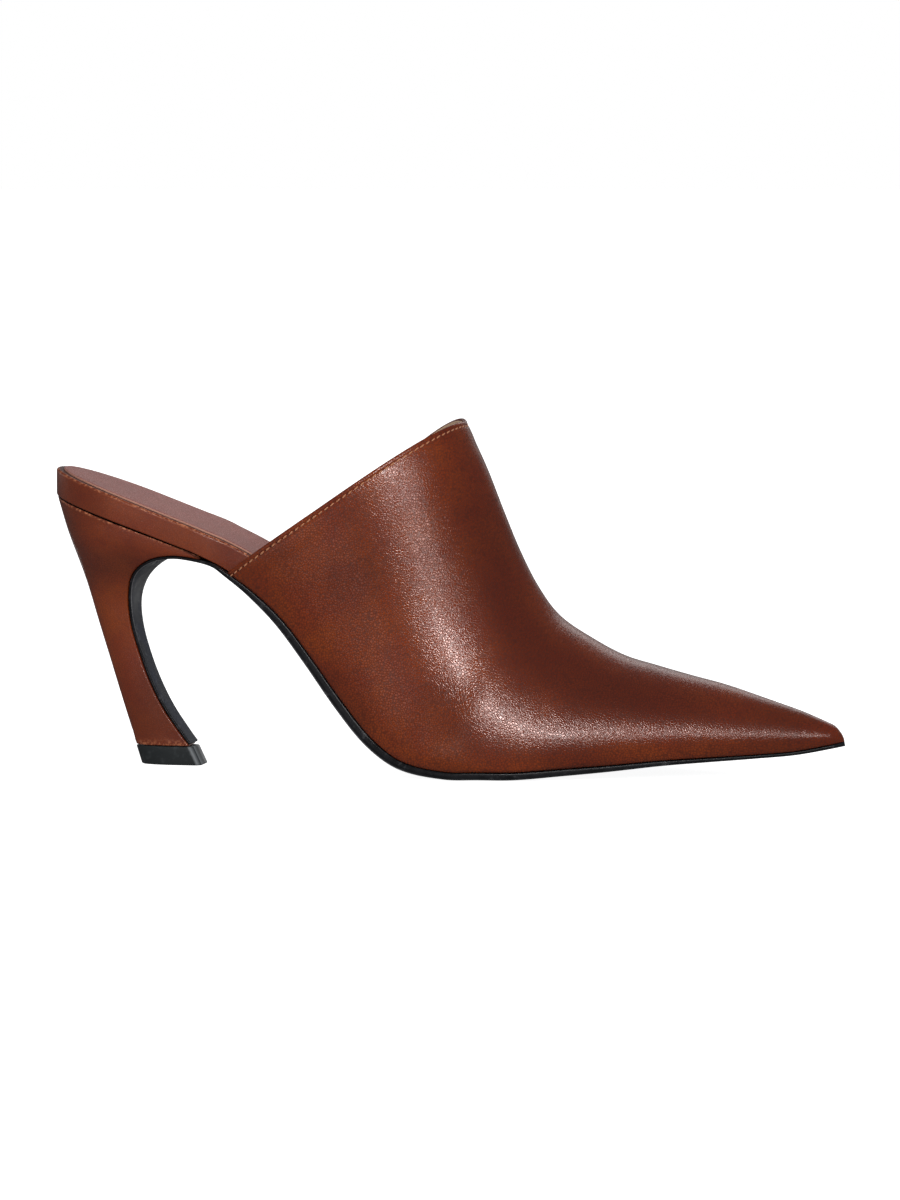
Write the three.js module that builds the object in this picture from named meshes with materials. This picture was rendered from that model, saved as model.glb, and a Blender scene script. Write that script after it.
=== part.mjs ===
// A woman's mule for the right foot, EU 38: pointed toe, open back, high curved heel.
// Millimetres, +X to the toe, +Y to the inner side of the foot, +Z up. The outlines are drawn
// from the back of the seat (x = 0) and the floor (z = 0), and the finished shoe is then moved
// so that its origin is the middle of its box on the floor.
import * as THREE from "three";
import { mergeVertices } from "three/addons/utils/BufferGeometryUtils.js";

// Driving dimensions of the last.
const shoeLength = 255; // back of the seat to the tip of the toe
const ballWidth = 72; // of the sole across the joints
const heelHeight = 88; // floor to the underside of the board, at the back
const instepHeight = 112; // floor to the top of the vamp

// Sizes of the pieces.
const fitGap = 0.25; // left between neighbouring pieces
const upperWall = 1.9; // leather, stiffener and lining together
const toeRadius = 5; // roundness of the tip, from above and from the side
const toeFilling = 4.5; // solid leather between the tip and the end of the inside
const seatRound = 28; // length of the rounded back of the seat
const boardEnd = 246; // where the board stops inside the toe
const sockEnd = 242;
const sockThickness = 0.6;
const sockInset = { seat: 2.4, forefoot: 0.8 }; // from the edge of the board
const flapThickness = 1.0; // sole leather carried down the front of the heel
const soleEdgeThinning = 0.16; // share of the sole's thickness skived off its edges
const topPieceHeight = 6;
const topPieceLean = 1.9; // how far it carries the heel's back line on towards the toe
const topPieceChamfer = 0.5;
const topPieceCorner = 1.3; // cut off each front corner

// Units of the tables: a percentage of a driving dimension, or a plain number.
const ofLength = shoeLength / 100;
const ofBall = ballWidth / 100;
const ofHeel = heelHeight / 100;
const ofInstep = instepHeight / 100;
const plain = 1;

// Turns rows of numbers into records with named columns, and numbers them in step.
function table(units, rows) {
  const names = Object.keys(units);
  const record = (row, step) => {
    const cells = names.map((name, column) => [name, row[column] * units[name]]);
    return { step, ...Object.fromEntries(cells) };
  };
  return rows.map(record);
}

// Smooth curves through every column of a table, read at a value of one rising column.
function smooth(rows, against) {
  const names = Object.keys(rows[0]);
  const places = rows.map((row) => row[against]);
  const values = rows.flatMap((row) => names.map((name) => row[name]));
  const curves = new THREE.CubicInterpolant(places, values, names.length);
  return (place) => {
    const found = curves.evaluate(place);
    return Object.fromEntries(names.map((name, column) => [name, found[column]]));
  };
}

// Bed of the last, seen from the side and from below: the line on which the board lies, with
// the outline of the sole, the thickness of the sole and the upright thickness of the board.
const bedRows = table(
  { at: ofLength, rise: ofHeel, outer: ofBall, inner: ofBall, sole: plain, board: plain },
  [
    [0.0, 99.1, 30.0, 30.0, 1.1, 8.7],
    [9.4, 89.8, 30.3, 30.3, 1.1, 8.2],
    [17.3, 81.6, 31.4, 31.0, 1.1, 7.8],
    [19.6, 79.1, 32.2, 31.2, 1.1, 7.8],
    [21.8, 75.9, 33.1, 31.4, 1.3, 8.2],
    [23.9, 72.5, 34.0, 31.1, 1.7, 8.9],
    [26.9, 66.2, 34.6, 29.4, 2.3, 10.3],
    [30.9, 56.0, 35.1, 27.2, 3.1, 11.6],
    [34.8, 41.8, 36.1, 25.8, 3.4, 10.2],
    [38.7, 26.8, 38.3, 26.7, 3.6, 7.0],
    [42.6, 14.0, 41.5, 29.6, 3.5, 4.6],
    [46.5, 6.5, 46.0, 34.4, 3.1, 3.2],
    [52.0, 3.4, 50.7, 42.2, 2.7, 2.6],
    [56.4, 3.4, 50.6, 47.8, 2.7, 2.6],
    [60.7, 3.4, 48.1, 50.0, 2.7, 2.6],
    [66.2, 4.4, 42.5, 47.5, 2.5, 2.6],
    [72.0, 5.6, 35.7, 40.6, 2.2, 2.4],
    [77.9, 6.9, 28.9, 32.6, 1.8, 2.2],
    [83.8, 7.8, 22.1, 24.6, 1.5, 2.0],
    [89.7, 8.8, 15.1, 16.5, 1.3, 2.0],
    [94.4, 9.8, 9.4, 10.1, 1.2, 2.0],
    [100.0, 12.7, 2.8, 2.8, 1.2, 2.0],
  ],
);
const bed = smooth(bedRows, "at");

// Sections of the upper from the topline to the tip. Each lies in a plane that leans forward
// from the foot of the section to the ridge of the vamp. Outer and inner are its greatest half
// widths, reached at the widest percentage of its height; side and crown say how full it is.
const upperRows = table(
  {
    foot: ofLength, ridgeAt: ofLength, ridge: ofInstep, outer: ofBall, inner: ofBall,
    widest: 0.01, side: 0.01, crown: 0.01,
  },
  [
    [23.9, 52.0, 99.3, 41.0, 38.9, 42, 60, 62],
    [29.3, 53.4, 92.7, 41.7, 38.2, 40, 58, 58],
    [34.4, 54.9, 85.2, 42.4, 36.8, 36, 52, 50],
    [39.1, 56.9, 73.8, 43.8, 36.1, 30, 50, 44],
    [43.4, 58.9, 62.8, 46.5, 38.2, 24, 52, 40],
    [47.3, 61.3, 52.3, 50.4, 42.4, 18, 56, 38],
    [51.6, 64.0, 44.1, 53.5, 47.2, 14, 60, 40],
    [56.4, 68.1, 37.9, 53.1, 51.1, 11, 62, 40],
    [61.5, 72.1, 33.2, 49.6, 51.9, 10, 62, 42],
    [66.9, 76.2, 30.5, 43.9, 48.3, 12, 60, 44],
    [72.8, 80.7, 27.8, 36.9, 41.1, 15, 56, 46],
    [79.5, 85.2, 25.2, 29.2, 32.2, 18, 52, 48],
    [86.5, 89.9, 21.9, 21.0, 22.8, 23, 50, 50],
    [92.8, 94.6, 18.4, 13.1, 13.9, 30, 50, 50],
    [97.1, 97.7, 15.5, 7.9, 8.3, 36, 50, 50],
    [100.0, 100.0, 13.4, 4.2, 4.2, 45, 50, 50],
  ],
);
const upperAt = smooth(upperRows, "step");

// Sections of the heel from the seat to the top piece, each from its back to its front face.
// Round is the share of the section's depth that the rounded back takes up.
const heelRows = table(
  { backAt: ofLength, backRise: ofHeel, frontAt: ofLength, frontRise: ofHeel, half: ofBall, round: 0.01 },
  [
    [0.1, 98.6, 20.0, 78.3, 29.4, 52],
    [0.4, 96.1, 20.1, 76.8, 29.4, 52],
    [0.9, 91.4, 17.8, 77.8, 29.2, 55],
    [1.4, 86.4, 15.6, 77.8, 28.3, 60],
    [2.0, 81.6, 13.3, 76.2, 26.1, 66],
    [2.6, 76.4, 11.4, 72.7, 21.3, 72],
    [3.3, 70.7, 10.2, 67.8, 15.7, 80],
    [4.0, 64.1, 9.6, 60.6, 11.1, 85],
    [5.1, 53.4, 9.8, 51.7, 9.6, 85],
    [6.1, 43.2, 10.7, 42.3, 8.6, 85],
    [7.4, 31.0, 12.2, 30.8, 8.5, 85],
    [8.6, 20.1, 14.0, 20.3, 8.2, 80],
    [9.6, 10.8, 16.2, 11.0, 7.6, 75],
    [10.0, 7.1, 17.2, 7.1, 7.5, 70],
  ],
);
const heelAt = smooth(heelRows, "step");

const sameSpot = 1e-4; // points closer together than this are one point

// A closed solid skinned over a row of closed outlines with equal numbers of points. The two
// end outlines are closed by a ladder of faces from one half of their points to the other.
function skin(outlines) {
  const triangles = [];
  const apart = (a, b) => a.distanceTo(b) > sameSpot;
  const face = (a, b, c) => {
    if (apart(a, b) && apart(b, c) && apart(c, a)) triangles.push([a, b, c]);
  };
  const quad = (a, b, c, d) => {
    face(a, b, c);
    face(a, c, d);
  };
  const count = outlines[0].length;
  for (let i = 0; i + 1 < outlines.length; i++) {
    for (let j = 0; j < count; j++) {
      const k = (j + 1) % count;
      quad(outlines[i][j], outlines[i][k], outlines[i + 1][k], outlines[i + 1][j]);
    }
  }
  const first = outlines[0];
  const last = outlines[outlines.length - 1];
  for (let j = 0; j + 1 < count / 2; j++) {
    const across = count - 1 - j;
    quad(first[j], first[across], first[across - 1], first[j + 1]);
    quad(last[j], last[j + 1], last[across - 1], last[across]);
  }
  const volume = triangles.reduce((sum, [a, b, c]) => sum + a.dot(b.clone().cross(c)), 0);
  const outward = volume > 0 ? triangles : triangles.map(([a, b, c]) => [a, c, b]);
  return mergeVertices(new THREE.BufferGeometry().setFromPoints(outward.flat()), sameSpot);
}

const range = (count) => Array.from({ length: count }, (_, i) => i);
const lerp = THREE.MathUtils.lerp;
const smoothstep = THREE.MathUtils.smoothstep;
const spread = (from, to, count) => range(count).map((i) => lerp(from, to, i / (count - 1)));
const clamp01 = (value) => THREE.MathUtils.clamp(value, 0, 1);

// Share of the full width or height that is left at a distance from a rounded end.
function roundedEnd(distance, radius) {
  const short = 1 - clamp01(distance / radius);
  return Math.sqrt(1 - short * short);
}

// One half of a section of the upper, from its foot on the bed to the ridge, as points that
// hold the half width, the height along the section and the share of the way round. The foot
// turns up sharply, within a share of the height of the belly.
const lowerSteps = 4;
const upperSteps = 10;
const footTurn = 0.18;
function halfSection(foot, widest, height, row) {
  const belly = row.widest * height;
  const lower = new THREE.QuadraticBezierCurve(
    new THREE.Vector2(foot, 0),
    new THREE.Vector2(widest, footTurn * belly),
    new THREE.Vector2(widest, belly),
  );
  const upper = new THREE.CubicBezierCurve(
    new THREE.Vector2(widest, belly),
    new THREE.Vector2(widest, belly + row.side * (height - belly)),
    new THREE.Vector2(widest * row.crown, height),
    new THREE.Vector2(0, height),
  );
  const points = [...lower.getPoints(lowerSteps), ...upper.getPoints(upperSteps).slice(1)];
  return points.map((point, i) => ({ out: point.x, up: point.y, way: i / (points.length - 1) }));
}

// The topline isn't quite straight: it bows up a little, and more on the inner side, where the
// extra bow starts some way up.
const toplineBow = { outer: 1.5, extraInner: 2.0, extraFrom: 0.3, skew: 1.25 };
function toplineRise(way, side) {
  const bow = toplineBow.outer * Math.sin(Math.PI * Math.pow(way, toplineBow.skew));
  const higher = clamp01((way - toplineBow.extraFrom) / (1 - toplineBow.extraFrom));
  return side > 0 ? bow + toplineBow.extraInner * Math.sin(Math.PI * higher) : bow;
}

// One skin of the upper at a station, from the outer foot over the ridge to the inner foot.
// Inset is how far inside the leather's outer face it lies. The ridge leans to the inner side,
// less and less over the last stretch before the tip.
const skinPoints = 2 * (lowerSteps + upperSteps) + 1;
const bowedRows = 2.5; // of the table, over which the bow of the topline dies out
const ridgeLean = 3;
const ridgeLeanFade = 60;
const ridgeSlant = 1.06; // a wall measured along a leaning section is this much thicker
function upperSkin(step, inset) {
  const row = upperAt(step);
  const ground = bed(row.foot);
  const tip = inset > 0 ? shoeLength - toeFilling : shoeLength;
  const taper = roundedEnd(tip - row.foot, toeRadius);
  if (row.foot >= tip) {
    return range(skinPoints).map(() => new THREE.Vector3(row.foot, 0, ground.rise));
  }
  const reach = row.ridgeAt - row.foot;
  const climb = row.ridge - ground.rise;
  const height = Math.hypot(reach, climb);
  const inner = taper * (height - ridgeSlant * inset);
  const fade = Math.pow(1 - clamp01(step / bowedRows), 2);
  const lean = ridgeLean * clamp01((shoeLength - row.foot) / ridgeLeanFade);
  const half = (side, foot, widest) => {
    const section = halfSection((foot - inset) * taper, (widest - inset) * taper, inner, row);
    return section.map(({ out, up, way }) => {
      const share = up / height;
      const rise = fade * toplineRise(way, side);
      return new THREE.Vector3(
        row.foot + reach * share - (rise * climb) / height,
        side * out + lean * share * share,
        ground.rise + climb * share + (rise * reach) / height,
      );
    });
  };
  const outerHalf = half(-1, ground.outer, row.outer);
  const innerHalf = half(1, ground.inner, row.inner).reverse();
  return [...outerHalf, ...innerHalf.slice(1)];
}

const upperStations = 37;
function upperGeometry() {
  const wall = (step) => [...upperSkin(step, 0), ...upperSkin(step, upperWall).reverse()];
  return skin(spread(0, upperRows.length - 1, upperStations).map(wall));
}

// A strip of leather laid along a path seen from the side, thick on the side away from the
// foot. Its long edges are thinned from below by a share of its thickness.
const stripAcross = [-1, -0.8, -0.6, -0.3, 0, 0.3, 0.6, 0.8, 1];
const thinnedFrom = 0.6;
const glance = 0.2; // how far ahead and behind the path's direction is read
function strip(path, places, edgeThinning) {
  return places.map((place) => {
    const here = path(place);
    const before = path(place - glance);
    const after = path(place + glance);
    const travel = new THREE.Vector2(after.x - before.x, after.z - before.z).normalize();
    const point = (share, depth) => {
      const y = share * (share < 0 ? here.outer : here.inner);
      const z = here.z - travel.x * depth;
      return new THREE.Vector3(here.x + travel.y * depth, y, Math.max(0, z));
    };
    const edge = (share) => Math.pow(clamp01((Math.abs(share) - thinnedFrom) / (1 - thinnedFrom)), 2);
    const upperFace = stripAcross.map((share) => point(share, here.lift));
    const lowerFace = stripAcross.map((share) => {
      const depth = here.thick * (1 - edgeThinning * edge(share));
      return point(share, here.lift + depth);
    });
    return [...upperFace, ...lowerFace.reverse()];
  });
}

// The outsole runs from the tip through the waist and down the front of the heel as a flap.
// The top two rows of the heel and the first four of the bed lie under the seat, behind it.
const soleStations = 58;
const soleTipStations = 6;
const flapEndGap = 0.4; // above the end of the heel
function outsoleGeometry() {
  const flap = heelRows.slice(2).reverse().map((row) => ({
    x: row.frontAt,
    z: row.frontRise,
    outer: row.half,
    inner: row.half,
    thick: flapThickness,
  }));
  const sole = bedRows.slice(4).map((row) => ({
    x: row.at,
    z: row.rise,
    outer: row.outer,
    inner: row.inner,
    thick: row.sole,
  }));
  let run = 0;
  const rows = [...flap, ...sole].map((row, i, all) => {
    if (i > 0) run += Math.hypot(row.x - all[i - 1].x, row.z - all[i - 1].z);
    return { run, lift: fitGap, ...row };
  });
  const along = smooth(rows, "run");
  const length = run;
  const path = (place) => {
    const row = along(place);
    const taper = roundedEnd(length - place, toeRadius);
    return { ...row, outer: row.outer * taper, inner: row.inner * taper };
  };
  const places = [
    ...spread(flapEndGap, length - toeRadius, soleStations),
    ...spread(length - toeRadius, length, soleTipStations).slice(1),
  ];
  return skin(strip(path, places, soleEdgeThinning));
}

// Share of the seat's half width: rounded at the back, a little fuller than a circle.
const fullness = 2.2;
function seatTaper(distance) {
  const short = clamp01(1 - distance / seatRound);
  return Math.pow(1 - Math.pow(short, fullness), 1 / fullness);
}

// Distance from the edge of the sole to the edge of the board: nothing round the open seat,
// and the wall of the upper once that stands beside it.
const upperBegins = { from: 51, to: 59 };
function boardInset(x) {
  return (upperWall + 2 * fitGap) * smoothstep(x, upperBegins.from, upperBegins.to);
}

// Places along the board, closer together at its round ends.
const backStations = 8;
const middleStations = 26;
const beforeEnd = [6, 4, 2.4, 1, 0.3, 0];
function boardPlaces(from, to) {
  const quarter = (i) => (i / backStations) * (Math.PI / 2);
  const back = range(backStations).map((i) => from + seatRound * (1 - Math.cos(quarter(i))));
  const middle = spread(from + seatRound, to - beforeEnd[0], middleStations);
  return [...back, ...middle, ...beforeEnd.slice(1).map((distance) => to - distance)];
}

const boardAcross = [-1, -0.8, -0.4, 0, 0.4, 0.8, 1];
function boardGeometry() {
  const outlines = boardPlaces(0, boardEnd).map((x) => {
    const row = bed(x);
    const taper = seatTaper(x) * roundedEnd(boardEnd - x, toeRadius);
    const y = (share) => share * taper * ((share < 0 ? row.outer : row.inner) - boardInset(x));
    const face = (z) => boardAcross.map((share) => new THREE.Vector3(x, y(share), z));
    return [...face(row.rise), ...face(row.rise + row.board).reverse()];
  });
  return skin(outlines);
}

// The sock stands back from the edge of the seat, and less so inside the upper.
const sockWidens = { from: 60, to: 110 };
function sockGeometry() {
  const path = (x) => {
    const row = bed(x);
    const taper = seatTaper(x - sockInset.seat) * roundedEnd(sockEnd - x, toeRadius);
    const inside = smoothstep(x, sockWidens.from, sockWidens.to);
    const inset = boardInset(x) + lerp(sockInset.seat, sockInset.forefoot, inside);
    return {
      x,
      z: row.rise + row.board,
      outer: taper * (row.outer - inset),
      inner: taper * (row.inner - inset),
      thick: sockThickness,
      lift: -fitGap - sockThickness,
    };
  };
  return skin(strip(path, boardPlaces(sockInset.seat, sockEnd), 0));
}

// A level or leaning slice through the heel: a flat front and a rounded back. The front corners
// can be cut off by a few tenths.
const backSteps = 10;
function heelSlice(row, corner = 0) {
  const length = Math.hypot(row.frontAt - row.backAt, row.frontRise - row.backRise);
  const straight = [
    { depth: 0, wide: 1 - corner / row.half },
    { depth: corner / length, wide: 1 },
    { depth: 0.5 * (1 - row.round), wide: 1 },
  ];
  const round = range(backSteps).map((i) => {
    const angle = (i / backSteps) * (Math.PI / 2);
    return {
      depth: 1 - row.round + row.round * Math.pow(Math.sin(angle), 2 / fullness),
      wide: Math.pow(Math.cos(angle), 2 / fullness),
    };
  });
  const half = [...straight, ...round, { depth: 1, wide: 0 }];
  const side = (sign) => half.map(({ depth, wide }) => new THREE.Vector3(
    lerp(row.frontAt, row.backAt, depth),
    sign * row.half * wide,
    lerp(row.frontRise, row.backRise, depth),
  ));
  return [...side(-1), ...side(1).reverse()];
}

const heelStations = 36;
function heelGeometry() {
  const steps = spread(0, heelRows.length - 1, heelStations);
  return skin(steps.map((step) => heelSlice(heelAt(step))));
}

// The top piece carries the heel and the end of the flap, and leans on down to the floor. Its
// front leans more than its back.
const frontLean = 1.5;
function topPieceGeometry() {
  const seat = heelRows[heelRows.length - 1];
  const level = (height, inset) => {
    const lean = topPieceLean * (1 - height / topPieceHeight);
    return heelSlice({
      backAt: seat.backAt + lean + inset,
      backRise: height,
      frontAt: seat.frontAt + fitGap + flapThickness + frontLean * lean - inset,
      frontRise: height,
      half: seat.half - inset,
      round: seat.round,
    }, topPieceCorner);
  };
  return skin([level(0, topPieceChamfer), level(topPieceChamfer, 0), level(topPieceHeight, 0)]);
}

const leather = { color: 0x6b3322, roughness: 0.45, metalness: 0 };
const black = { color: 0x22242a, roughness: 0.5, metalness: 0 };
const pieces = [
  ["upper", upperGeometry(), leather],
  ["insole_board", boardGeometry(), leather],
  ["sock", sockGeometry(), { color: 0x74402f, roughness: 0.5, metalness: 0 }],
  ["outsole", outsoleGeometry(), black],
  ["heel", heelGeometry(), leather],
  ["top_piece", topPieceGeometry(), { ...black, roughness: 0.7 }],
];

const shoe = new THREE.Group();
for (const [name, geometry, finish] of pieces) {
  const mesh = new THREE.Mesh(geometry, new THREE.MeshStandardMaterial(finish));
  mesh.name = name;
  shoe.add(mesh);
}
const box = new THREE.Box3().setFromObject(shoe);
const middle = box.getCenter(new THREE.Vector3());
shoe.position.set(-middle.x, -middle.y, -box.min.z);

export default shoe;
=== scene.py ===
# A woman's pointed mule for the right foot: brown leather upper and heel, black leather sole.
import math
from types import SimpleNamespace

import bmesh
import bpy
import numpy as np
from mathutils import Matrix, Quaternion, Vector, noise


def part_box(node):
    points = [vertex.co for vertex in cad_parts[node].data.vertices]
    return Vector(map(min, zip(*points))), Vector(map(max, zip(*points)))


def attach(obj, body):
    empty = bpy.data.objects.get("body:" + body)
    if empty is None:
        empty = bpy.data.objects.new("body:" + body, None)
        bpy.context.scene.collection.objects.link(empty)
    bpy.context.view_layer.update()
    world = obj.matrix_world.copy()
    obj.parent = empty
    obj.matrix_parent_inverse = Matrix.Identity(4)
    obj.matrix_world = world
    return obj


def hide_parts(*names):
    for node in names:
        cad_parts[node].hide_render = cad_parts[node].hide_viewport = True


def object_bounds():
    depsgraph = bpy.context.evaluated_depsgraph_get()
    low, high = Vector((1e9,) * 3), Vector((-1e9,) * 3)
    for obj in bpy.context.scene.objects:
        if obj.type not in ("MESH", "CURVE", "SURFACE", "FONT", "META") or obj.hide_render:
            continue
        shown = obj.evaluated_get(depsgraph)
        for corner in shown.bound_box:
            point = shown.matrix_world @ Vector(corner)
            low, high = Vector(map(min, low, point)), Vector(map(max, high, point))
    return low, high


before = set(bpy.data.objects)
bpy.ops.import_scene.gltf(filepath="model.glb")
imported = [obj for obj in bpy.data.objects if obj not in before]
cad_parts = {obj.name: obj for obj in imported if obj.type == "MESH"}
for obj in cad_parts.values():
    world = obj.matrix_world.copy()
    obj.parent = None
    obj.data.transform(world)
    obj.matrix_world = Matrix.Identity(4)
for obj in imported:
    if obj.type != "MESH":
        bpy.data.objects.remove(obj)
cad_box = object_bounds()

# ---- Insole board ------------------------------------------------------------------------------
# A moulded fibre board, thick under the open seat and thinner inside the shoe. A strip of smooth
# brown leather is wrapped round its edge and turned over the top corner. The upper is lasted
# over it and the heel is screwed up into it, so it carries the whole shoe.
MM = 0.001
heel_tip_low, heel_tip_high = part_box("top_piece")
SEAT_BACK = np.array([cad_box[0].x, (heel_tip_low.y + heel_tip_high.y) / 2, 0.0])
UPPER_WALL = 1.9
FIT_GAP = 0.25
TOE_RADIUS = 5.0
SEAT_ROUND = 28.0
FULLNESS = 2.2
BOARD_END = 246.0
UPPER_BEGINS = (51.0, 59.0)


def table(names, rows):
    """Rows of millimetres with named columns."""
    return SimpleNamespace(names=names.split(), values=np.array(rows, float))


def smooth(columns, at):
    """Smooth curves through every column of a table, read at values of one rising column."""
    values = columns.values
    gaps = np.diff(at)
    slopes = np.diff(values, axis=0) / gaps[:, None]
    tangents = (values[2:] - values[:-2]) / (at[2:] - at[:-2])[:, None]
    tangents = np.concatenate([slopes[:1], tangents, slopes[-1:]])

    def read(place):
        place = np.clip(np.asarray(place, float), at[0], at[-1])
        i = np.clip(np.searchsorted(at, place, side="right") - 1, 0, len(at) - 2)
        gap = gaps[i][..., None]
        t = (place - at[i])[..., None] / gap
        start = (1 + 2 * t) * (1 - t) ** 2 * values[i] + t * (1 - t) ** 2 * gap * tangents[i]
        end = t * t * (3 - 2 * t) * values[i + 1] - t * t * (1 - t) * gap * tangents[i + 1]
        return SimpleNamespace(**dict(zip(columns.names, np.moveaxis(start + end, -1, 0))))

    return read


# The bed of the last, from the back of the seat to the tip: its height over the floor, the
# outline of the sole to either side, and the upright thickness of the sole and of the board.
bed_rows = table("at rise outer inner sole board", [
    [0.0, 87.2, 21.6, 21.6, 1.1, 8.7],
    [24.0, 79.0, 21.8, 21.8, 1.1, 8.2],
    [44.0, 71.8, 22.6, 22.3, 1.1, 7.8],
    [50.0, 69.6, 23.2, 22.5, 1.1, 7.8],
    [55.7, 66.8, 23.8, 22.6, 1.3, 8.2],
    [60.9, 63.8, 24.5, 22.4, 1.7, 8.9],
    [68.7, 58.3, 24.9, 21.2, 2.3, 10.3],
    [78.7, 49.3, 25.3, 19.6, 3.1, 11.6],
    [88.7, 36.8, 26.0, 18.6, 3.4, 10.2],
    [98.7, 23.6, 27.6, 19.2, 3.6, 7.0],
    [108.7, 12.3, 29.9, 21.3, 3.5, 4.6],
    [118.7, 5.7, 33.1, 24.8, 3.1, 3.2],
    [132.7, 3.0, 36.5, 30.4, 2.7, 2.6],
    [143.7, 3.0, 36.4, 34.4, 2.7, 2.6],
    [154.7, 3.0, 34.6, 36.0, 2.7, 2.6],
    [168.7, 3.9, 30.6, 34.2, 2.5, 2.6],
    [183.7, 4.9, 25.7, 29.2, 2.2, 2.4],
    [198.7, 6.1, 20.8, 23.5, 1.8, 2.2],
    [213.7, 6.9, 15.9, 17.7, 1.5, 2.0],
    [228.7, 7.7, 10.9, 11.9, 1.3, 2.0],
    [240.7, 8.6, 6.8, 7.3, 1.2, 2.0],
    [255.0, 11.2, 2.0, 2.0, 1.2, 2.0],
])
bed = smooth(bed_rows, bed_rows.values[:, 0])


def smoothstep(value, low, high):
    share = np.clip((value - low) / (high - low), 0, 1)
    return share * share * (3 - 2 * share)


def bump_of(value, middle, reach):
    """A soft hill that is 1 at its middle and has died out at its reach."""
    return np.clip(1 - ((value - middle) / reach) ** 2, 0, 1) ** 2


def rounded_end(distance, radius):
    """Share of the full width that is left at a distance from a rounded end."""
    return np.sqrt(1 - (1 - np.clip(distance / radius, 0, 1)) ** 2)


def board_inset(x):
    """From the edge of the sole to the edge of the board, which gives way to the upper."""
    return (UPPER_WALL + 2 * FIT_GAP) * smoothstep(x, *UPPER_BEGINS)


def seat_loop(back, end, inset):
    """Outline of a piece on the bed, from the toe down the outer side and up the inner."""
    turn = np.linspace(0, math.pi / 2, 26)
    back_places = back + SEAT_ROUND * (1 - np.cos(turn) ** (2 / FULLNESS))
    front_places = end - TOE_RADIUS * (1 - np.cos(turn[::3]))[::-1]
    straight = np.linspace(back_places[-1], front_places[0], 74)
    x = np.concatenate([back_places, straight[1:-1], front_places])
    short = 1 - np.clip((x - back) / SEAT_ROUND, 0, 1)
    width = (1 - short**FULLNESS) ** (1 / FULLNESS) * rounded_end(end - x, TOE_RADIUS)
    row = bed(x)
    outer = np.stack([x, -width * (row.outer - inset(x))], -1)
    inner = np.stack([x, width * (row.inner - inset(x))], -1)
    return np.concatenate([outer[::-1], inner[1:]])


def loop_rings(loop, profile):
    """A profile of (way in from the edge, height over a surface) carried round an outline."""
    along = np.gradient(loop, axis=0)
    along /= np.maximum(np.linalg.norm(along, axis=1, keepdims=True), 1e-9)
    inward = np.stack([along[:, 1], -along[:, 0]], -1)
    rings = []
    for inset, height in profile:
        place = loop + inset * inward
        rings.append(np.stack([place[:, 0], place[:, 1], height(place[:, 0])], -1))
    return np.array(rings)


def new_mesh(name, points, faces, marks):
    """An object from points in the shoe's millimetres, welded, with its faces turned outwards."""
    mesh = bpy.data.meshes.new(name)
    mesh.from_pydata((points * MM + SEAT_BACK).tolist(), [], faces)
    for mark, shares in marks.items():
        values = shares.ravel().astype(np.float32)
        mesh.attributes.new(mark, "FLOAT", "POINT").data.foreach_set("value", values)
    work = bmesh.new()
    work.from_mesh(mesh)
    bmesh.ops.remove_doubles(work, verts=work.verts, dist=2e-6)
    bmesh.ops.dissolve_degenerate(work, edges=work.edges, dist=1e-6)
    bmesh.ops.recalc_face_normals(work, faces=work.faces)
    work.to_mesh(mesh)
    work.free()
    mesh.shade_smooth()
    made = bpy.data.objects.new(name, mesh)
    bpy.context.scene.collection.objects.link(made)
    return made


def lofted(name, rings, **marks):
    """A closed body skinned over rings of points, its ends shut by a ladder of faces.

    Each mark is a share from 0 to 1 for every point, which a finish reads by its name.
    """
    count, around = rings.shape[:2]
    faces = []
    for i in range(count - 1):
        for j in range(around):
            k = (j + 1) % around
            faces.append((i * around + j, i * around + k, (i + 1) * around + k, (i + 1) * around + j))
    for base in (0, (count - 1) * around):
        for j in range((around - 1) // 2):
            rung = (j, around - 1 - j, around - 2 - j, j + 1)
            faces.append(tuple(base + corner for corner in dict.fromkeys(rung)))
    marks = {mark: np.broadcast_to(shares, (count, around)) for mark, shares in marks.items()}
    return new_mesh(name, rings.reshape(-1, 3), faces, marks)


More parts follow.
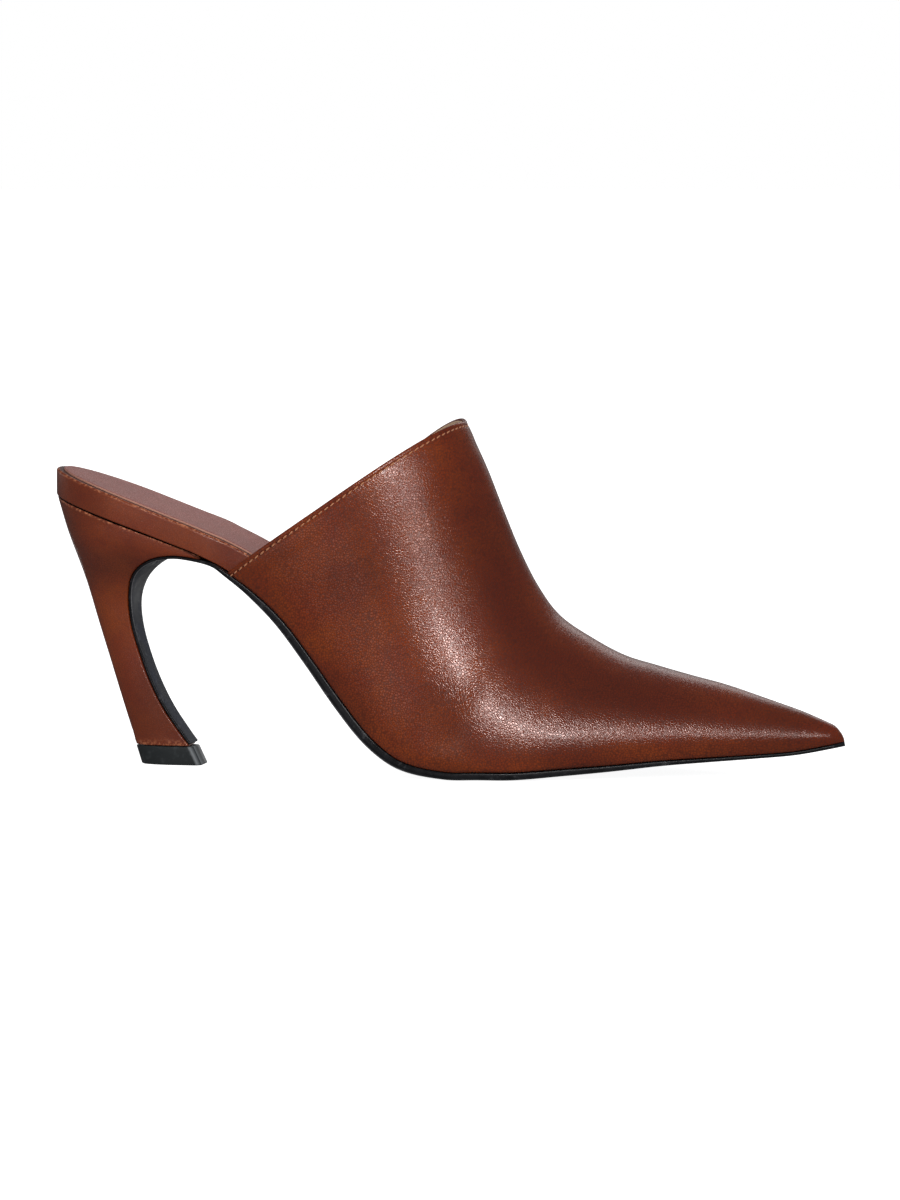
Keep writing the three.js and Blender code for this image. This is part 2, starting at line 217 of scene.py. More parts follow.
class Finish:
    """A material built node by node round one Principled shader."""

    def __init__(self, name, **shader):
        self.material = bpy.data.materials.new(name)
        self.material.use_nodes = True
        self.nodes = self.material.node_tree.nodes
        self.shader = self.nodes["Principled BSDF"]
        self.place = self.add("ShaderNodeTexCoord").outputs["Object"]
        for socket, value in shader.items():
            self.shader.inputs[socket.replace("_", " ")].default_value = value

    def add(self, kind, settings=(), **inputs):
        made = self.nodes.new(kind)
        for setting, value in dict(settings).items():
            setattr(made, setting, value)
        for socket, value in inputs.items():
            self.join(value, made.inputs[socket.replace("_", " ")])
        return made

    def join(self, value, socket):
        if isinstance(value, bpy.types.NodeSocket):
            self.material.node_tree.links.new(value, socket)
        else:
            socket.default_value = value

    def cloud(self, size_mm, detail=2.0, roughness=0.5):
        """Soft patches of a size in millimetres, from 0 to 1."""
        made = self.add(
            "ShaderNodeTexNoise",
            Scale=1 / (size_mm * MM), Detail=detail, Roughness=roughness, Vector=self.place,
        )
        return made.outputs["Fac"]

    def span(self, value, low, high, to_low=0.0, to_high=1.0):
        """A value from low to high carried smoothly over to another span."""
        made = self.add("ShaderNodeMapRange", dict(interpolation_type="SMOOTHSTEP"), Value=value)
        for socket, number in zip(list(made.inputs)[1:5], (low, high, to_low, to_high)):
            socket.default_value = number
        return made.outputs["Result"]

    def blend(self, share, first, second):
        """One colour over another, by a share that is a number or a pattern."""
        made = self.add("ShaderNodeMix", dict(data_type="RGBA"))
        self.join(share, made.inputs[0])
        self.join(first, made.inputs[6])
        self.join(second, made.inputs[7])
        return made.outputs[2]

    def sum(self, first, second, operation="ADD"):
        made = self.add("ShaderNodeMath", dict(operation=operation))
        self.join(first, made.inputs[0])
        self.join(second, made.inputs[1])
        return made.outputs[0]

    def relief(self, height, depth_mm, strength=1.0, under=None):
        """Raises the surface by a pattern, over another relief if there is one."""
        made = self.add("ShaderNodeBump", Strength=strength, Distance=depth_mm * MM, Height=height)
        if under is not None:
            self.join(under, made.inputs["Normal"])
        return made.outputs["Normal"]

    def attribute(self, name):
        return self.add("ShaderNodeAttribute", dict(attribute_name=name)).outputs["Fac"]

    def finish(self, colour, roughness, normal):
        self.join(colour, self.shader.inputs["Base Color"])
        self.join(roughness, self.shader.inputs["Roughness"])
        self.join(normal, self.shader.inputs["Normal"])
        return self.material


def srgb(red, green, blue):
    """A colour given as it looks, from 0 to 255, as the light it stands for."""
    parts = [c / 255 for c in (red, green, blue)]
    return tuple(c / 12.92 if c < 0.04045 else ((c + 0.055) / 1.055) ** 2.4 for c in parts) + (1.0,)


def leather(
    name, cell, depth, shine, valleys, polish=0.75,
    deep=srgb(84, 30, 19), warm=srgb(147, 65, 23), red=srgb(128, 49, 25),
):
    """Aniline calf leather: pebbled grain, fine pores, a dye that took unevenly, and painted shade and
    pale specks of painted highlight wherever a piece marks them.
    """
    hide = Finish(
        name,
        Specular_IOR_Level=polish,
        Specular_Tint=(1.0, 0.7, 0.64, 1.0),
        Coat_Weight=polish / 3,
        Coat_Roughness=0.12,
    )
    drift = hide.add("ShaderNodeTexNoise", Scale=420.0, Detail=2.0, Vector=hide.place)
    bent = hide.add("ShaderNodeVectorMath", dict(operation="MULTIPLY_ADD"))
    hide.join(drift.outputs["Color"], bent.inputs[0])
    bent.inputs[1].default_value = (0.0007, 0.0007, 0.0007)
    hide.join(hide.place, bent.inputs[2])
    pebbles = hide.add("ShaderNodeTexVoronoi", dict(feature="DISTANCE_TO_EDGE"), Scale=1 / (cell * MM))
    hide.join(bent.outputs[0], pebbles.inputs["Vector"])
    grain = hide.span(pebbles.outputs["Distance"], 0.0, 0.3)
    pores = hide.cloud(0.22, detail=1.0)
    swell = hide.cloud(5.5, detail=3.0)
    normal = hide.relief(swell, 0.03, 0.5)
    normal = hide.relief(pores, 0.008, 0.6, under=normal)
    normal = hide.relief(grain, depth, 1.0, under=normal)
    colour = hide.blend(hide.span(hide.cloud(13.0, detail=5.0, roughness=0.6), 0.2, 0.8), red, warm)
    colour = hide.blend(hide.span(hide.cloud(34.0, detail=3.0), 0.42, 0.72, 0.0, 0.55), colour, deep)
    # Painted shade: where a piece marks it, the colour darkens toward the deep one.
    colour = hide.blend(hide.attribute("painted_shade"), colour, deep)
    valley = hide.span(grain, 0.0, 0.7, valleys, 0.0)
    colour = hide.blend(valley, colour, srgb(60, 20, 12))
    # Pale specks of painted highlight, which also stand for scuffs, where a piece marks its edges.
    painted_highlight_specks = hide.span(hide.cloud(0.9, detail=5.0, roughness=0.65), 0.47, 0.6)
    painted_highlight_specks = hide.sum(painted_highlight_specks, hide.attribute("rubbed"), "MULTIPLY")
    colour = hide.blend(painted_highlight_specks, colour, srgb(206, 128, 88))
    # Painted shade where a piece marks a seam between parts: a dark colour and a rougher surface.
    seam = hide.attribute("in_seam")
    colour = hide.blend(seam, colour, srgb(48, 18, 11))
    rough = hide.span(grain, 0.0, 1.0, shine + 0.14, shine - 0.02)
    rough = hide.sum(rough, hide.sum(seam, 0.5, "MULTIPLY"))
    hide.join(normal, hide.shader.inputs["Coat Normal"])
    return hide.finish(colour, rough, normal)


BAND_TOP_ROUND = 1.1
BAND_FOOT_ROUND = 0.45
TURNED_IN = 3.2


def band_profile():
    """The edge of the board from under it, up its side and over its rounded top corner, which carries a
    painted highlight.
    """
    turn = np.linspace(0, math.pi / 2, 7)
    steps = [(TURNED_IN, lambda x: bed(x).rise)]
    for a in turn:
        lift = BAND_FOOT_ROUND * (1 - math.cos(a))
        steps.append((BAND_FOOT_ROUND * (1 - math.sin(a)), lambda x, lift=lift: bed(x).rise + lift))
    for a in turn:
        drop = BAND_TOP_ROUND * (1 - math.sin(a))
        steps.append((
            BAND_TOP_ROUND * (1 - math.cos(a)),
            lambda x, drop=drop: bed(x).rise + bed(x).board - drop,
        ))
    steps.append((TURNED_IN, lambda x: bed(x).rise + bed(x).board))
    return steps


board_loop = seat_loop(0.0, BOARD_END, board_inset)
# One share for each step of the profile, from under the board to its top.
# Pale specks of painted highlight on the board's rounded top corner.
band_rubbed = np.array([0.0] * 9 + [0.2, 0.6, 0.9, 0.9, 0.5, 0.0, 0.0])
# Painted shade under the board and on its top beside the sock's edge.
band_in_seam = np.array([1.0, 1.0, 0.8, 0.3] + [0.0] * 10 + [0.6, 0.9])
insole_board = lofted(
    "insole_board_wrapped", loop_rings(board_loop, band_profile()),
    rubbed=band_rubbed[:, None], in_seam=band_in_seam[:, None],
)
smooth_leather = leather("smooth brown leather", cell=0.6, depth=0.02, shine=0.36, valleys=0.3)
insole_board.data.materials.append(smooth_leather)
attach(insole_board, "root")
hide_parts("insole_board")

# ---- Heel --------------------------------------------------------------------------------------
# A high curved heel of hard plastic with a flat front, covered in the same brown leather. The
# cover is glued on wet and pulled tight, so it creases a little under the seat and above the
# top piece.
heel_rows = table("back_at back_rise front_at front_rise half round", [
    [0.3, 86.75, 51.0, 68.9, 21.2, 0.52],
    [0.9, 84.6, 51.3, 67.6, 21.2, 0.52],
    [2.2, 80.4, 45.4, 68.5, 21.0, 0.55],
    [3.6, 76.0, 39.7, 68.5, 20.4, 0.60],
    [5.1, 71.8, 34.0, 67.1, 18.8, 0.66],
    [6.7, 67.2, 29.0, 64.0, 15.3, 0.72],
    [8.3, 62.2, 25.9, 59.7, 11.3, 0.80],
    [10.1, 56.4, 24.5, 53.3, 8.0, 0.85],
    [12.9, 47.0, 25.1, 45.5, 6.9, 0.85],
    [15.6, 38.0, 27.3, 37.2, 6.2, 0.85],
    [18.9, 27.3, 31.0, 27.1, 6.1, 0.85],
    [21.9, 17.7, 35.7, 17.9, 5.9, 0.80],
    [24.5, 9.5, 41.3, 9.7, 5.5, 0.75],
    [25.4, 6.25, 43.9, 6.25, 5.4, 0.70],
])
heel_steps = np.arange(len(heel_rows.values), dtype=float)
heel_at = smooth(heel_rows, heel_steps)


def heel_slice(row, inset=0.0, corner=0.7, cut=False):
    """A slice through the heel from its flat front to its rounded back, drawn in a little."""
    front = np.array([row.front_at, row.front_rise])
    back = np.array([row.back_at, row.back_rise])
    length = np.linalg.norm(back - front)
    half = row.half - inset
    front = front + (back - front) * inset / length
    back = back - (back - front) * inset / length
    share = corner / length
    if cut:
        start = [
            (0.0, half - corner),
            (share * 0.08, half - corner * 0.9),
            (share * 0.9, half - corner * 0.1),
        ]
    else:
        start = [
            (share * (1 - math.cos(a)), half - corner * (1 - math.sin(a)))
            for a in np.linspace(0, math.pi / 2, 5)
        ]
    straight = [(depth, half) for depth in np.linspace(share, 1 - row.round, 8)]
    turn = np.linspace(0, math.pi / 2, 22)[1:]
    rounded = [
        (
            1 - row.round + row.round * math.sin(a) ** (2 / FULLNESS),
            half * max(math.cos(a), 0) ** (2 / FULLNESS),
        )
        for a in turn
    ]
    outline = np.array([(0.0, 0.0), *start, *straight[1:], *rounded])
    line = front + outline[:, :1] * (back - front)
    side = np.stack([line[:, 0], outline[:, 1], line[:, 1]], -1)
    other = side[::-1].copy()
    other[:, 1] *= -1
    return np.concatenate([side, other[1:-1]])


def pushed(rings, amount):
    """Moves every point of a body's skin along its normal by an amount in millimetres."""
    across = np.gradient(rings, axis=0)
    around = np.roll(rings, -1, axis=1) - np.roll(rings, 1, axis=1)
    normal = np.cross(across, around)
    normal /= np.maximum(np.linalg.norm(normal, axis=-1, keepdims=True), 1e-9)
    middle = rings.mean(axis=1, keepdims=True)
    facing = np.sign(((rings - middle) * normal).sum(-1, keepdims=True).mean())
    return rings + facing * normal * amount[..., None]


def ripples(points, size, seed):
    """Uneven soft ripples, from -1 to 1, at points in millimetres."""
    flat = points.reshape(-1, 3) / np.asarray(size) + seed
    return np.array([noise.noise(Vector(p)) for p in flat]).reshape(points.shape[:-1])


HEEL_LAST = float(heel_steps[-1])
TOP_EDGE = [(0.0, 3.0), (0.0, 0.55), (0.03, 0.3), (0.07, 0.14), (0.13, 0.04)]
BOTTOM_EDGE = [(HEEL_LAST - 0.06, 0.05), (HEEL_LAST - 0.02, 0.2), (HEEL_LAST, 0.4), (HEEL_LAST, 1.6)]
heel_path = [(step, 0.0) for step in np.linspace(0.2, HEEL_LAST - 0.12, 120)]
heel_levels = [*TOP_EDGE, *heel_path, *BOTTOM_EDGE]
heel_rings = np.array([heel_slice(heel_at(step), inset) for step, inset in heel_levels])
heel_steps_fine = np.array([step for step, inset in heel_levels])
creased = bump_of(heel_steps_fine, 0.3, 1.2) * 0.7 + bump_of(heel_steps_fine, HEEL_LAST - 0.3, 1.6)
creases = ripples(heel_rings, (4.0, 2.2, 1.4), 11.0) * 0.16 * creased[:, None]
slack = ripples(heel_rings, (16.0, 12.0, 22.0), 23.0) * 0.12
# Pale specks of painted highlight, which also stand for scuffs, along the cover's top and bottom edges.
heel_painted_highlight = bump_of(heel_steps_fine, 0.12, 0.5) * 0.8 + bump_of(heel_steps_fine, HEEL_LAST, 0.9) * 0.6
# One share of painted shade for each level, darkest at the two ends, where the cover is tucked in.
heel_in_seam = np.array([1.0, 1.0, 0.8, 0.3] + [0.0] * (len(heel_rings) - 6) + [0.6, 1.0])
heel = lofted(
    "heel_covered", pushed(heel_rings, creases + slack),
    rubbed=heel_painted_highlight[:, None], in_seam=heel_in_seam[:, None],
)
heel_leather = leather("heel cover leather", cell=0.6, depth=0.025, shine=0.36, valleys=0.3)
heel.data.materials.append(heel_leather)
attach(heel, "root")
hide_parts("heel")

# ---- Sock --------------------------------------------------------------------------------------
# A thin leather sock glued on the board, from the back of the seat to inside the toe. It is cut
# a little smaller than the seat, and its raw edge shows as a pale line. It is left unstamped.
SOCK_END = 242.0
SOCK_THICKNESS = 0.7
SOCK_BACK = 2.4


def sock_inset(x):
    """From the edge of the sole to the sock, which comes nearer the edge inside the shoe."""
    return board_inset(x) + SOCK_BACK + (0.8 - SOCK_BACK) * smoothstep(x, 60.0, 110.0)


def board_top(lift):
    return lambda x: bed(x).rise + bed(x).board + lift


sock_profile = [(1.5, board_top(0.02)), (0.02, board_top(0.02)), (0.0, board_top(0.12))]
sock_profile += [(0.0, board_top(SOCK_THICKNESS - 0.2)), (0.06, board_top(SOCK_THICKNESS - 0.07))]
sock_profile += [(0.2, board_top(SOCK_THICKNESS)), (0.9, board_top(SOCK_THICKNESS + 0.05))]
sock_profile += [(2.5, board_top(SOCK_THICKNESS + 0.08)), (6.0, board_top(SOCK_THICKNESS + 0.1))]
sock_loop = seat_loop(SOCK_BACK, SOCK_END, sock_inset)
# The raw edge is the four points between the glued foot and the face.
sock_cut_edge = np.array([0.0] + [1.0] * 4 + [0.0] * 4)
sock = lofted("sock_leather", loop_rings(sock_loop, sock_profile), cut_edge=sock_cut_edge[:, None])
sock_finish = leather(
    "sock leather", cell=0.75, depth=0.03, shine=0.42, valleys=0.45, polish=0.4,
    deep=srgb(138, 60, 50), warm=srgb(174, 86, 68), red=srgb(162, 70, 60),
)
raw_edge = Finish("raw leather edge", Specular_IOR_Level=0.3)
fibres = raw_edge.cloud(0.3, detail=2.0)
raw_edge.finish(
    raw_edge.blend(fibres, srgb(178, 122, 104), srgb(214, 164, 146)),
    raw_edge.span(fibres, 0.2, 0.8, 0.6, 0.85),
    raw_edge.relief(fibres, 0.05),
)
sock_shader = sock_finish.node_tree.nodes["Principled BSDF"]
sock_shader.inputs["Sheen Weight"].default_value = 0.3
sock_shader.inputs["Sheen Roughness"].default_value = 0.35
sock_shader.inputs["Sheen Tint"].default_value = (1.0, 0.62, 0.58, 1.0)
sock.data.materials.append(sock_finish)
sock.data.materials.append(raw_edge.material)
on_cut_edge = sock.data.attributes["cut_edge"].data
for face in sock.data.polygons:
    face.material_index = int(all(on_cut_edge[corner].value > 0.5 for corner in face.vertices))
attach(sock, "root")
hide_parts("sock")

# ---- Upper -------------------------------------------------------------------------------------
# One piece of grained brown calf drawn over the last, from the slanting topline to the pointed
# toe. Its top edge is thinned and folded in over the lining, and its foot is lasted under the
# board. Sections of the last stand in planes that lean forward from the foot to the ridge.
upper_rows = table("foot ridge_at ridge outer inner widest side crown", [
    [60.9, 132.7, 111.2, 29.5, 28.0, 0.42, 0.60, 0.62],
    [74.7, 136.1, 103.8, 30.0, 27.5, 0.40, 0.58, 0.58],
    [87.7, 140.0, 95.4, 30.5, 26.5, 0.36, 0.52, 0.50],
    [99.7, 145.1, 82.7, 31.5, 26.0, 0.30, 0.50, 0.44],
    [110.7, 150.3, 70.3, 33.5, 27.5, 0.24, 0.52, 0.40],
    [120.7, 156.3, 58.6, 36.3, 30.5, 0.18, 0.56, 0.38],
    [131.7, 163.3, 49.4, 38.5, 34.0, 0.14, 0.56, 0.42],
    [143.7, 173.6, 42.5, 38.2, 36.8, 0.05, 0.50, 0.47],
    [156.7, 183.9, 37.2, 35.7, 37.4, 0.04, 0.49, 0.49],
    [170.7, 194.2, 34.2, 31.6, 34.8, 0.06, 0.50, 0.50],
    [185.7, 205.7, 31.1, 26.6, 29.6, 0.12, 0.52, 0.48],
    [202.7, 217.3, 28.2, 21.0, 23.2, 0.18, 0.52, 0.48],
    [220.7, 229.2, 24.5, 15.1, 16.4, 0.23, 0.50, 0.50],
    [236.7, 241.2, 20.6, 9.4, 10.0, 0.30, 0.50, 0.50],
    [247.7, 249.2, 17.4, 5.7, 6.0, 0.36, 0.50, 0.50],
    [255.0, 255.0, 15.0, 3.0, 3.0, 0.45, 0.50, 0.50],
])
upper_steps = np.arange(len(upper_rows.values), dtype=float)
upper_at = smooth(upper_rows, upper_steps)
SHOE_LENGTH = 255.0
FOOT_TURN = 0.18
LOWER_SHARE = 4 / 14
RIDGE_LEAN = 3.0
RIDGE_LEAN_FADE = 60.0
BOWED_ROWS = 2.5


def half_section(row, taper, height):
    """One half of each section from its foot to the ridge: half width, height, share of the way."""
    foot = (row.ground_half * taper)[:, None]
    widest = (row.widest_half * taper)[:, None]
    height = height[:, None]
    belly = row.widest[:, None] * height
    t = np.linspace(0, 1, 19)[None, :]
    lower_out = (1 - t) ** 2 * foot + (1 - (1 - t) ** 2) * widest
    lower_up = 2 * t * (1 - t) * FOOT_TURN * belly + t * t * belly
    t = np.linspace(0, 1, 61)[None, 1:]
    side, crown = row.side[:, None], row.crown[:, None]
    upper_out = widest * ((1 - t) ** 3 + 3 * t * (1 - t) ** 2 + 3 * t * t * (1 - t) * crown)
    shoulder = belly + side * (height - belly)
    upper_up = (1 - t) ** 3 * belly + 3 * t * (1 - t) ** 2 * shoulder
    upper_up = upper_up + (3 * t * t * (1 - t) + t**3) * height
    way = np.concatenate([np.linspace(0, LOWER_SHARE, 19), LOWER_SHARE + (1 - LOWER_SHARE) * t[0]])
    return np.concatenate([lower_out, upper_out], 1), np.concatenate([lower_up, upper_up], 1), way


def last_skin(steps):
    """Points on the outer face of the upper: a row for each step, from outer foot to inner foot."""
    row = upper_at(steps)
    ground = bed(row.foot)
    taper = rounded_end(SHOE_LENGTH - row.foot, TOE_RADIUS)
    reach, climb = row.ridge_at - row.foot, row.ridge - ground.rise
    full = np.hypot(reach, climb)
    fade = (1 - np.clip(steps / BOWED_ROWS, 0, 1)) ** 2
    lean = RIDGE_LEAN * np.clip((SHOE_LENGTH - row.foot) / RIDGE_LEAN_FADE, 0, 1)
    halves = []
    for sign, ground_half, widest_half in ((-1, ground.outer, row.outer), (1, ground.inner, row.inner)):
        row.ground_half, row.widest_half = ground_half, widest_half
        out, up, way = half_section(row, taper, taper * full)
        bow = 1.5 * np.sin(math.pi * way**1.25)
        if sign > 0:
            bow = bow + 2.4 * np.sin(math.pi * np.clip((way - 0.3) / 0.7, 0, 1))
        share = up / full[:, None]
        rise = fade[:, None] * bow[None, :]
        x = row.foot[:, None] + reach[:, None] * share - rise * (climb / full)[:, None]
        y = sign * out + lean[:, None] * share * share
        z = ground.rise[:, None] + climb[:, None] * share + rise * (reach / full)[:, None]
        halves.append(np.stack([x, y, z], -1))
    return np.concatenate([halves[0], halves[1][:, -2::-1]], 1)


skin = last_skin(np.linspace(0, upper_steps[-1], 901))
skin_run = np.concatenate(
    [np.zeros((1, skin.shape[1])), np.cumsum(np.linalg.norm(np.diff(skin, axis=0), axis=-1), axis=0)]
)
lengthwise, crosswise = np.gradient(skin, axis=0), np.gradient(skin, axis=1)
skin_normal = np.cross(lengthwise, crosswise)
skin_normal[-1] = (1.0, 0.0, 0.0)
skin_normal /= np.maximum(np.linalg.norm(skin_normal, axis=-1, keepdims=True), 1e-9)
ridge_column = skin.shape[1] // 2
if skin_normal[100, ridge_column, 2] < 0:
    skin_normal[:-1] *= -1


def on_skin(run):
    """Points and outward normals at distances from the topline."""
    columns = range(skin.shape[1])

    def read(values):
        picked = [
            [np.interp(run[:, c], skin_run[:, c], values[:, c, axis]) for axis in range(3)]
            for c in columns
        ]
        return np.moveaxis(np.array(picked), (0, 1, 2), (1, 2, 0))

    place, normal = read(skin), read(skin_normal)
    normal /= np.linalg.norm(normal, axis=-1, keepdims=True)
    return place, normal


def runs(near, count):
    """Distances from the topline: the same ones near it, then even shares of the way to the tip."""
    near = np.asarray(near, float)
    share = np.linspace(0, 1, count + 1)[1:, None]
    rest = near[-1] + share * (skin_run[-1] - near[-1])
    return np.concatenate([np.repeat(near[:, None], skin.shape[1], 1), rest])


def shell(name, near, count, depth, thickness, recess, relief):
    """A wall of even thickness inside the skin, with a rounded top edge set below the topline."""
    radius = thickness / 2
    run = runs(np.asarray(near) + recess + radius, count)
    place, normal = on_skin(run)
    tip = np.clip((skin_run[-1][None, :] - run) / 9.0, 0.03, 1)[..., None]
    raised = relief(place, run - recess)[..., None]
    outer = place - normal * depth * tip + normal * raised
    inner = place - normal * (depth + thickness) * tip
    first_normal = normal[0]
    back = place[0] - place[1]
    back /= np.linalg.norm(back, axis=-1, keepdims=True)
    core = (outer[0] + inner[0]) / 2
    edge_out, edge_in = [], []
    for angle in np.radians([6, 22, 38, 54, 70]):
        edge_out.append(core + radius * (math.cos(angle) * back + math.sin(angle) * first_normal))
        edge_in.append(core + radius * (math.cos(angle) * back - math.sin(angle) * first_normal))
    outer = np.concatenate([np.array(edge_out), outer])
    inner = np.concatenate([np.array(edge_in), inner])
    return lofted(name, np.concatenate([outer, inner[:, ::-1]], 1))


UPPER_THICKNESS = 1.2
STITCH_LINE = 1.65


def leather_relief(place, run):
    """Hand-worked unevenness: the roll of the folded edge, the pull of the stitches, soft waves."""
    roll = 0.10 * bump_of(run, 1.0, 0.9)
    pull = -0.12 * bump_of(run, STITCH_LINE, 0.8)
    turned_in = 0.10 * (1 - smoothstep(run, 5.5, 8.0)) * smoothstep(run, 2.2, 3.2)
    calm = smoothstep(run, 6.0, 16.0) * smoothstep(skin_run[-1][None, :] - run, 4.0, 30.0)
    waves = ripples(place, (26.0, 30.0, 20.0), 5.0) * 0.06
    waves = waves + ripples(place, (9.0, 11.0, 8.0), 7.0) * 0.015
    return roll + pull + turned_in + waves * calm


near_edge = [0.0, 0.15, 0.3, 0.45, 0.6, 0.8, 1.0, 1.2, 1.4, 1.6]
near_edge += [1.8, 2.0, 2.2, 2.5, 2.9, 3.4, 4.0, 4.7, 5.4]
upper = shell("upper_leather", near_edge, 170, 0.0, UPPER_THICKNESS, 0.0, leather_relief)
upper_points = (np.array([corner.co for corner in upper.data.vertices]) - SEAT_BACK) / MM
upper_x = upper_points[:, 0]
ridge_height = np.interp(upper_x, upper_rows.values[:, 1], upper_rows.values[:, 2])
height_share = upper_points[:, 2] / ridge_height
# Painted shade between the side and the ridge, where the leather turns away from the light;
# less on the ridge and toward the toe.
painted_shade = smoothstep(height_share, 0.35, 0.7) * (1 - 0.6 * smoothstep(height_share, 0.8, 1.0))
painted_shade *= smoothstep(upper_x, 118.0, 150.0) * (1 - 0.5 * smoothstep(upper_x, 185.0, 235.0))
painted_shade = (0.8 * painted_shade).astype(np.float32)
upper.data.attributes.new("painted_shade", "FLOAT", "POINT").data.foreach_set("value", painted_shade)
upper_leather = leather("grained brown leather", cell=0.8, depth=0.026, shine=0.185, valleys=0.58)
upper.data.materials.append(upper_leather)
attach(upper, "root")
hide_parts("upper")

# ---- Lining ------------------------------------------------------------------------------------
# Thin undyed lining leather, glued inside the upper up to just below its folded edge, where the
# row of stitches holds it.
LINING_RECESS = 0.5
LINING_DEPTH = 1.22
LINING_THICKNESS = 0.6


def lining_relief(place, run):
    return ripples(place, (12.0, 14.0, 10.0), 3.0) * 0.05 * smoothstep(run, 3.0, 8.0)


near_lining_edge = [0.0, 0.3, 0.8, 1.4, 2.0, 3.0, 4.5]
lining = shell(
    "lining", near_lining_edge, 90, LINING_DEPTH, LINING_THICKNESS, LINING_RECESS, lining_relief,
)
lining_hide = Finish("lining leather", Specular_IOR_Level=0.35)
lining_patches = lining_hide.cloud(11.0, detail=4.0)
lining_nap = lining_hide.cloud(0.35, detail=2.0)
lining_colour = lining_hide.blend(lining_patches, srgb(196, 166, 134), srgb(214, 188, 158))
lining_hide.finish(
    lining_hide.blend(
        lining_hide.span(lining_nap, 0.3, 0.6, 0.2, 0.0), lining_colour, srgb(160, 128, 98),
    ),
    lining_hide.span(lining_nap, 0.3, 0.7, 0.55, 0.75),
    lining_hide.relief(lining_nap, 0.03, 0.7),
)
lining.data.materials.append(lining_hide.material)
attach(lining, "root")

# ---- Topline stitches --------------------------------------------------------------------------
# One row of tan lockstitches follows the topline, just below the folded edge. Each stitch lies
# in the leather between two needle holes, drawn as dark dots of painted shade, and the same row
# shows on the lining.
STITCH_PITCH = 2.3
STITCH_LENGTH = 1.75
THREAD_WIDTH = 0.48
STITCH_SLANT = 10.0


def stitch_tree():
    """Geometry Nodes that lay one small shape after another along a path, facing off a surface."""
    tree = bpy.data.node_groups.new("row along a path", "GeometryNodeTree")
    face = tree.interface
    face.new_socket("Geometry", in_out="INPUT", socket_type="NodeSocketGeometry")
    for name in ("Pitch", "Length", "Width", "Height", "Shift"):
        face.new_socket(name, in_out="INPUT", socket_type="NodeSocketFloat")
    face.new_socket("Slant", in_out="INPUT", socket_type="NodeSocketFloat")
    face.new_socket("Finish", in_out="INPUT", socket_type="NodeSocketMaterial")
    face.new_socket("Geometry", in_out="OUTPUT", socket_type="NodeSocketGeometry")

    def add(kind, **settings):
        made = tree.nodes.new(kind)
        for setting, value in settings.items():
            setattr(made, setting, value)
        return made

    link = tree.links.new
    given, result = add("NodeGroupInput"), add("NodeGroupOutput")
    curve = add("GeometryNodeMeshToCurve")
    link(given.outputs["Geometry"], curve.inputs["Mesh"])
    points = add("GeometryNodeCurveToPoints", mode="LENGTH")
    link(curve.outputs["Curve"], points.inputs["Curve"])
    link(given.outputs["Pitch"], points.inputs["Length"])
    facing = add("GeometryNodeInputNamedAttribute", data_type="FLOAT_VECTOR")
    facing.inputs["Name"].default_value = "facing"
    turn = add("FunctionNodeAxesToRotation", primary_axis="X", secondary_axis="Z")
    link(points.outputs["Tangent"], turn.inputs["Primary Axis"])
    link(facing.outputs["Attribute"], turn.inputs["Secondary Axis"])
    shift = add("ShaderNodeVectorMath", operation="SCALE")
    link(points.outputs["Tangent"], shift.inputs[0])
    link(given.outputs["Shift"], shift.inputs["Scale"])
    moved = add("GeometryNodeSetPosition")
    link(points.outputs["Points"], moved.inputs["Geometry"])
    link(shift.outputs["Vector"], moved.inputs["Offset"])
    shape = add("GeometryNodeMeshUVSphere")
    shape.inputs["Segments"].default_value = 10
    shape.inputs["Rings"].default_value = 7
    shape.inputs["Radius"].default_value = 0.5
    size = add("ShaderNodeCombineXYZ")
    for name, socket in zip(("Length", "Width", "Height"), size.inputs):
        link(given.outputs[name], socket)
    sized = add("GeometryNodeTransform")
    link(shape.outputs["Mesh"], sized.inputs["Geometry"])
    link(size.outputs["Vector"], sized.inputs["Scale"])
    slant = add("ShaderNodeCombineXYZ")
    link(given.outputs["Slant"], slant.inputs["Z"])
    link(slant.outputs["Vector"], sized.inputs["Rotation"])
    row = add("GeometryNodeInstanceOnPoints")
    link(moved.outputs["Geometry"], row.inputs["Points"])
    link(sized.outputs["Geometry"], row.inputs["Instance"])
    link(turn.outputs["Rotation"], row.inputs["Rotation"])
    real = add("GeometryNodeRealizeInstances")
    link(row.outputs["Instances"], real.inputs["Geometry"])
    painted = add("GeometryNodeSetMaterial")
    link(real.outputs["Geometry"], painted.inputs["Geometry"])
    link(given.outputs["Finish"], painted.inputs["Material"])
    link(painted.outputs["Geometry"], result.inputs["Geometry"])
    return tree


def stitch_row(name, path, facing, finish, slant, **sizes):
    """A row of stitches or of dark dots of painted shade along points that each know which way is off
    the leather.
    """
    mesh = bpy.data.meshes.new(name)
    edges = [(i, i + 1) for i in range(len(path) - 1)]
    mesh.from_pydata((path * MM + SEAT_BACK).tolist(), edges, [])
    mesh.attributes.new("facing", "FLOAT_VECTOR", "POINT").data.foreach_set("vector", facing.ravel())
    made = bpy.data.objects.new(name, mesh)
    bpy.context.scene.collection.objects.link(made)
    row = made.modifiers.new("row", "NODES")
    row.node_group = row_tree
    for socket in row_tree.interface.items_tree:
        if socket.in_out == "INPUT" and socket.name in sizes:
            row[socket.identifier] = sizes[socket.name] * MM
        if socket.in_out == "INPUT" and socket.name == "Slant":
            row[socket.identifier] = math.radians(slant)
        if socket.in_out == "INPUT" and socket.name == "Finish":
            row[socket.identifier] = finish
    bpy.context.view_layer.update()
    graph = bpy.context.evaluated_depsgraph_get()
    plain = bpy.data.meshes.new_from_object(made.evaluated_get(graph))
    made.modifiers.remove(row)
    made.data = plain
    plain.shade_smooth()
    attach(made, "root")
    return made


